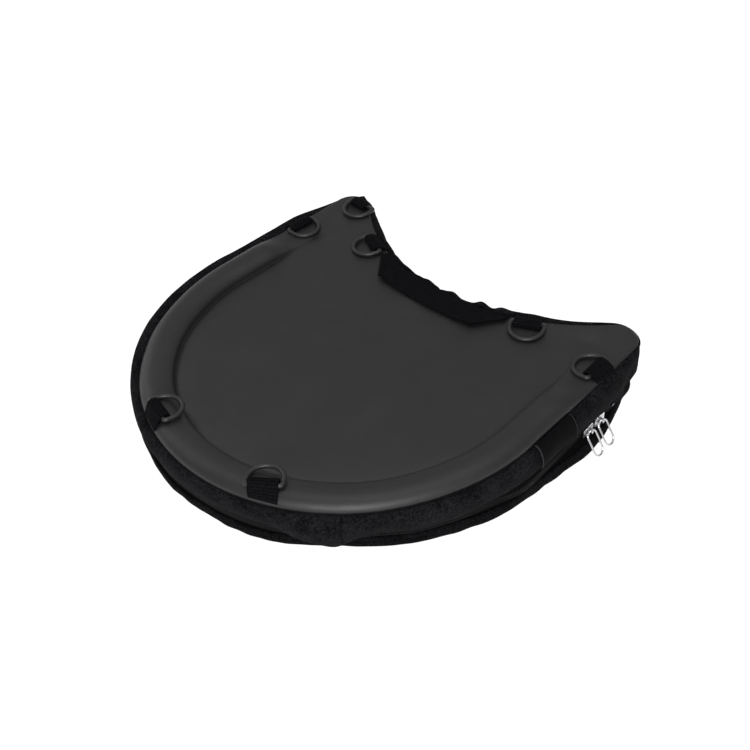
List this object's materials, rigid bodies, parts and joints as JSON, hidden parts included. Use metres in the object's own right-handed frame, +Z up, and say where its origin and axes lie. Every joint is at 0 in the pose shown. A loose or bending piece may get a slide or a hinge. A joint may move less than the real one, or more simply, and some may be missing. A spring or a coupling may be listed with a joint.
{
  "type": "lap tray bag",
  "caption": "Padded kidney-shaped lap tray over a soft bead-filled zip bag, with a waist cut-out, swinging D-rings and a carry handle.",
  "frame": {"origin": "on the floor under the centre of the tray's front arc, in the face of the base panel that the bag rests on", "axes": "+Z up through the tray, -Y towards the rounded front, +Y towards the waist cut-out, +X towards the side that the zip sliders are parked on"},
  "size_m": [0.3982, 0.3758, 0.0719],
  "materials": {
    "leatherette": "fine-grained charcoal leatherette with a soft sheen",
    "felt": "matt black brushed fabric over thin padding",
    "webbing": "black ribbed webbing and zip tape",
    "lining": "thin black woven lining",
    "board": "pressed fibre board",
    "foam": "open-cell foam",
    "beads": "loose polystyrene beads",
    "ring_plastic": "moulded black plastic with a soft gloss",
    "coil": "black nylon zip coil",
    "silver": "nickel-plated zinc",
    "label": "bare folded black ribbon"
  },
  "bodies": {
    "base": {"base_panel": "felt", "base_lining": "lining", "bean_fill": "beads", "lower_band": "felt", "zip_tape_lower": "webbing", "zip_coil_lower": "coil", "rear_gusset": "felt"},
    "tray": {"tray_cover": "leatherette", "tray_board": "board", "tray_lining": "lining", "rim_cover": "leatherette", "rim_core": "foam", "upper_band_right": "felt", "upper_band_left": "felt", "zip_tape_upper": "webbing", "zip_coil_upper": "coil", "zip_stop_right": "silver", "zip_stop_left": "silver", "label_tab": "label", "ring_loop_front_right": "webbing", "ring_loop_front_left": "webbing", "ring_loop_side_right": "webbing", "ring_loop_side_left": "webbing", "ring_loop_waist_right": "webbing", "ring_loop_waist_left": "webbing", "ring_loop_horn_left": "webbing"},
    "ring_front_right": {"d_ring_front_right": "ring_plastic"},
    "ring_front_left": {"d_ring_front_left": "ring_plastic"},
    "ring_side_right": {"d_ring_side_right": "ring_plastic"},
    "ring_side_left": {"d_ring_side_left": "ring_plastic"},
    "ring_waist_right": {"d_ring_waist_right": "ring_plastic"},
    "ring_waist_left": {"d_ring_waist_left": "ring_plastic"},
    "ring_horn_left": {"d_ring_horn_left": "ring_plastic"},
    "handle": {"carry_handle": "webbing"},
    "slider_front": {"zip_slider_front": "silver"},
    "slider_rear": {"zip_slider_rear": "silver"},
    "pull_front": {"zip_pull_front": "silver"},
    "pull_rear": {"zip_pull_rear": "silver"}
  },
  "joints": [
    {"name": "tray_open", "type": "hinge", "parent": "base", "child": "tray", "pos_m": [0, 0.175, 0.0215], "axis": [-1, 0, 0], "range_deg": [0, 35], "deforming": ["rear_gusset"]},
    {"name": "ring_front_right_swing", "type": "hinge", "parent": "tray", "child": "ring_front_right", "pos_m": [0.06714, -0.16374, 0.06831], "axis": [0.7986, 0.6018, 0], "range_deg": [0, 185]},
    {"name": "ring_front_left_swing", "type": "hinge", "parent": "tray", "child": "ring_front_left", "pos_m": [-0.05849, -0.16698, 0.06831], "axis": [0.9744, -0.225, 0], "range_deg": [0, 188]},
    {"name": "ring_side_right_swing", "type": "hinge", "parent": "tray", "child": "ring_side_right", "pos_m": [0.1728, 0.10764, 0.0599], "axis": [-0.0403, 0.9992, 0], "range_deg": [0, 160]},
    {"name": "ring_side_left_swing", "type": "hinge", "parent": "tray", "child": "ring_side_left", "pos_m": [-0.17332, 0.09464, 0.0599], "axis": [-0.0403, -0.9992, 0], "range_deg": [0, 160]},
    {"name": "ring_waist_right_swing", "type": "hinge", "parent": "tray", "child": "ring_waist_right", "pos_m": [0.09269, 0.11837, 0.0599], "axis": [-0.9028, -0.4301, 0], "range_deg": [0, 160]},
    {"name": "ring_waist_left_swing", "type": "hinge", "parent": "tray", "child": "ring_waist_left", "pos_m": [-0.09269, 0.11837, 0.0599], "axis": [-0.9028, 0.4301, 0], "range_deg": [0, 160]},
    {"name": "ring_horn_left_swing", "type": "hinge", "parent": "tray", "child": "ring_horn_left", "pos_m": [-0.1484, 0.15896, 0.0599], "axis": [-1, 0.0001, 0], "range_deg": [0, 145]},
    {"name": "handle_swing", "type": "hinge", "parent": "tray", "child": "handle", "pos_m": [0, 0.119, 0.0571], "axis": [-1, 0, 0], "range_deg": [0, 85]},
    {"name": "slider_front_travel", "type": "slide", "parent": "tray", "child": "slider_front", "axis": [0.0403, -0.9992, 0], "range_m": [0, 0.062]},
    {"name": "slider_rear_travel", "type": "slide", "parent": "tray", "child": "slider_rear", "axis": [-0.0403, 0.9992, 0], "range_m": [0, 0.01]},
    {"name": "pull_front_swing", "type": "hinge", "parent": "slider_front", "child": "pull_front", "pos_m": [0.19038, 0.0783, 0.0215], "axis": [0.0403, -0.9992, 0], "range_deg": [0, 110]},
    {"name": "pull_rear_swing", "type": "hinge", "parent": "slider_rear", "child": "pull_rear", "pos_m": [0.18974, 0.0943, 0.0215], "axis": [0.0403, -0.9992, 0], "range_deg": [0, 110]}
  ]
}
